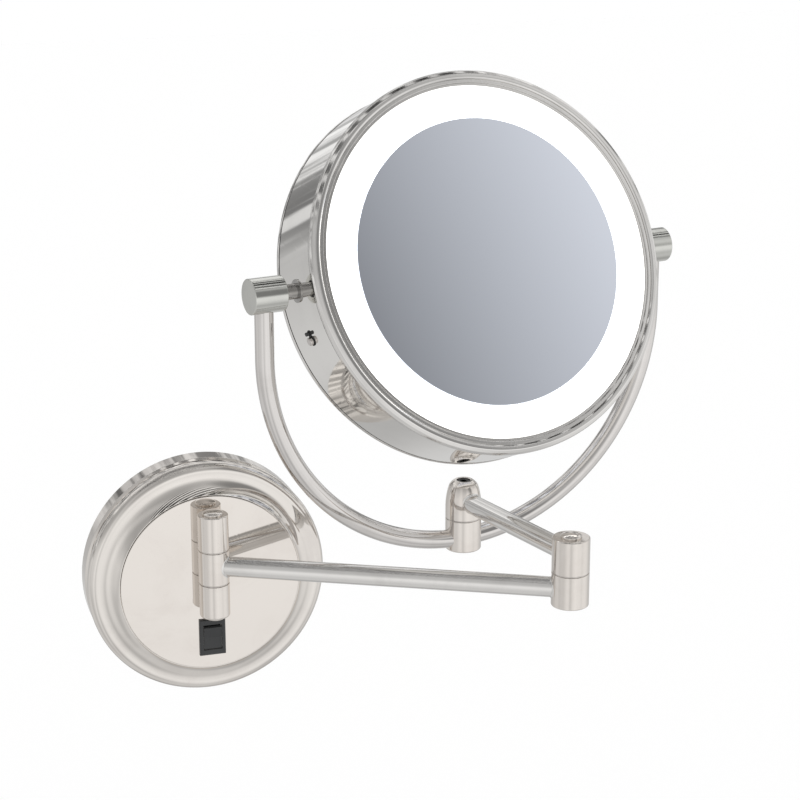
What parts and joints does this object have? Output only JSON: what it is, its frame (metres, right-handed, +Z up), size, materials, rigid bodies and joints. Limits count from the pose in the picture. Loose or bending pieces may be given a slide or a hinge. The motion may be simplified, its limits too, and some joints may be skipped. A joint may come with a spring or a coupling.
{
  "type": "wall-mounted swing-arm mirror",
  "caption": "Round lit two-sided mirror tilting in a U-shaped yoke, carried off a round wall base by a folding two-part arm.",
  "frame": {"origin": "centre of the wall bracket, on its back face, in the plane of the wall", "axes": "+Z up, -Y out of the wall into the room, +X to the right for someone who faces the wall; the arms turn about +Z"},
  "size_m": [0.3093, 0.1575, 0.3067],
  "materials": {
    "cover_metal": "polished warm nickel",
    "disc_metal": "polished warm nickel, flat",
    "post_metal": "polished warm nickel",
    "washer_metal": "satin",
    "cap_metal": "polished warm nickel",
    "arm_metal": "polished warm nickel",
    "yoke_metal": "polished warm nickel",
    "barrel_metal": "polished warm nickel",
    "drum_metal": "polished warm nickel",
    "bezel_metal": "polished warm nickel, turned",
    "pin_metal": "polished",
    "dark_screws": "black oxide",
    "bracket_steel": "zinc plated",
    "hidden_steel": "zinc plated",
    "mirror_glass": "silvered glass, bevelled edge",
    "lit_diffuser": "opal white, lit from behind",
    "unlit_diffuser": "opal white",
    "tray_white": "white powder coat",
    "board_white": "white solder mask",
    "led_yellow": "phosphor under clear resin",
    "black_plastic": "fine satin",
    "button_metal": "satin nickel",
    "button_black": "moulded",
    "black_rubber": "matte",
    "driver_plastic": "moulded",
    "terminal_plastic": "moulded",
    "terminal_brass": "stamped"
  },
  "bodies": {
    "wall_base": {"wall_bracket": "bracket_steel", "cover_screws": "dark_screws", "base_cover": "cover_metal", "face_disc": "disc_metal", "post_nuts": "hidden_steel", "led_driver": "driver_plastic", "terminal_block": "terminal_plastic", "wall_post_top": "post_metal", "wall_post_foot": "post_metal", "wall_washers": "washer_metal", "wall_bolt": "hidden_steel", "wall_bolt_caps": "cap_metal", "rocker_frame": "black_plastic", "rocker_pivot": "hidden_steel", "rocker_terminals": "terminal_brass"},
    "rocker": {"rocker_paddle": "black_plastic"},
    "arm_1": {"arm_1_wall_knuckle": "post_metal", "arm_1_tube": "arm_metal", "arm_1_elbow_knuckle": "post_metal", "elbow_bolt": "hidden_steel", "elbow_caps": "cap_metal", "elbow_washer": "washer_metal"},
    "arm_2": {"arm_2_elbow_knuckle": "post_metal", "arm_2_tube": "arm_metal", "arm_2_yoke_knuckle": "post_metal"},
    "yoke": {"yoke_washer": "washer_metal", "yoke_screw": "dark_screws", "yoke_bar": "yoke_metal", "yoke_knuckle": "post_metal", "left_barrel": "barrel_metal", "right_barrel": "barrel_metal", "friction_rings": "black_rubber"},
    "head": {"drum_shell": "drum_metal", "front_bezel": "bezel_metal", "rear_bezel": "bezel_metal", "front_diffuser": "lit_diffuser", "rear_diffuser": "unlit_diffuser", "front_mirror": "mirror_glass", "rear_mirror": "mirror_glass", "tilt_pins": "pin_metal", "tilt_bosses": "pin_metal", "tilt_pin_nuts": "hidden_steel", "button_housing": "driver_plastic", "button_collars": "black_rubber", "front_carrier_plate": "tray_white", "rear_carrier_plate": "tray_white", "front_mirror_cup": "tray_white", "rear_mirror_cup": "tray_white", "front_led_board": "board_white", "rear_led_board": "board_white", "front_leds": "led_yellow", "rear_leds": "led_yellow"},
    "large_button": {"large_button": "button_metal"},
    "small_button": {"small_button": "button_black"}
  },
  "joints": [
    {"name": "arm_1_swing", "type": "hinge", "parent": "wall_base", "child": "arm_1", "pos_m": [0, -0.0346, 0.0121], "axis": [0, 0, 1], "range_deg": [-153, 26]},
    {"name": "arm_2_swing", "type": "hinge", "parent": "arm_1", "child": "arm_2", "pos_m": [0.15696, -0.11423, 0.0297], "axis": [0, 0, 1], "range_deg": [-278, 16]},
    {"name": "yoke_swivel", "type": "hinge", "parent": "arm_2", "child": "yoke", "pos_m": [0.13231, -0.02684, 0.0208], "axis": [0, 0, 1], "range_deg": [-72, 84]},
    {"name": "head_tilt", "type": "hinge", "parent": "yoke", "child": "head", "pos_m": [0.13231, -0.02684, 0.1507], "axis": [0.9836, 0.1805, 0], "range_deg": [-156.8, 203.2]},
    {"name": "rocker_switch", "type": "hinge", "parent": "wall_base", "child": "rocker", "pos_m": [0, -0.0254, -0.0288], "axis": [1, 0, 0], "range_deg": [-14, 0]},
    {"name": "large_button_press", "type": "slide", "parent": "head", "child": "large_button", "axis": [-0.9317, -0.2747, -0.2379], "range_m": [-0.0008, 0], "stiffness_N_per_m": 900},
    {"name": "small_button_press", "type": "slide", "parent": "head", "child": "small_button", "axis": [-0.9436, -0.2616, -0.2029], "range_m": [-0.0008, 0], "stiffness_N_per_m": 700}
  ]
}
